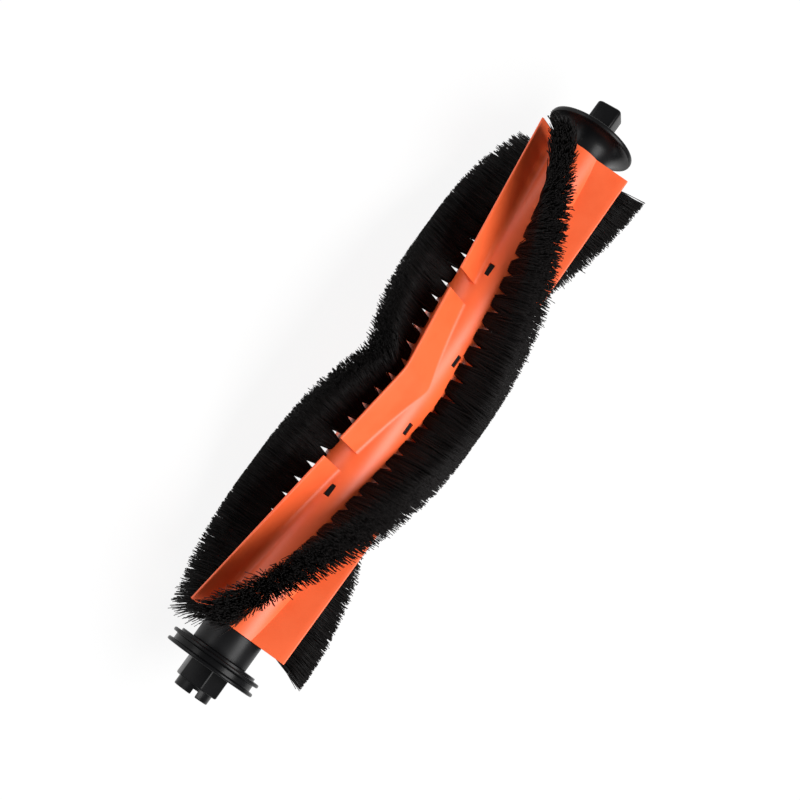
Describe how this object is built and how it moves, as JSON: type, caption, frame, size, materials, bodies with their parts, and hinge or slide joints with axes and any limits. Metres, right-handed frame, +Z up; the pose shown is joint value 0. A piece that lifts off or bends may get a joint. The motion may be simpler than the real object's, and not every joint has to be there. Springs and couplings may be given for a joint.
{
  "type": "vacuum roller brush",
  "caption": "Main roller brush for a robot vacuum: black core, orange rubber sleeve with V-shaped wiper vanes, V-shaped rows of black bristle tufts, a drive stub and a spinning end block.",
  "frame": {"origin": "tip of the drive nose, on the roller's axis", "axes": "+X along the roller's axis from the drive nose to the bearing block, +Z up with the roller lying on its bristles"},
  "size_m": [0.1799, 0.0422, 0.0422],
  "materials": {
    "black_core_plastic": "satin",
    "orange_rubber": "satin",
    "black_nylon": "matte",
    "black_end_plastic": "semi-gloss",
    "pin_steel": "satin",
    "washer_plastic": "matte",
    "bush_bronze": "satin"
  },
  "bodies": {
    "roller": {"core_tube": "black_core_plastic", "vane_sleeve": "orange_rubber", "bristle_row_1": "black_nylon", "bristle_row_2": "black_nylon", "bristle_row_3": "black_nylon", "drive_coupling": "black_end_plastic", "guard_disc": "black_end_plastic", "axle_pin": "pin_steel", "thrust_washer": "washer_plastic"},
    "bearing": {"bearing_block": "black_end_plastic", "bearing_bush": "bush_bronze"}
  },
  "joints": [
    {"name": "block_spin", "type": "hinge", "parent": "roller", "child": "bearing", "pos_m": [0.1759, 0, 0], "axis": [1, 0, 0], "continuous": true}
  ]
}
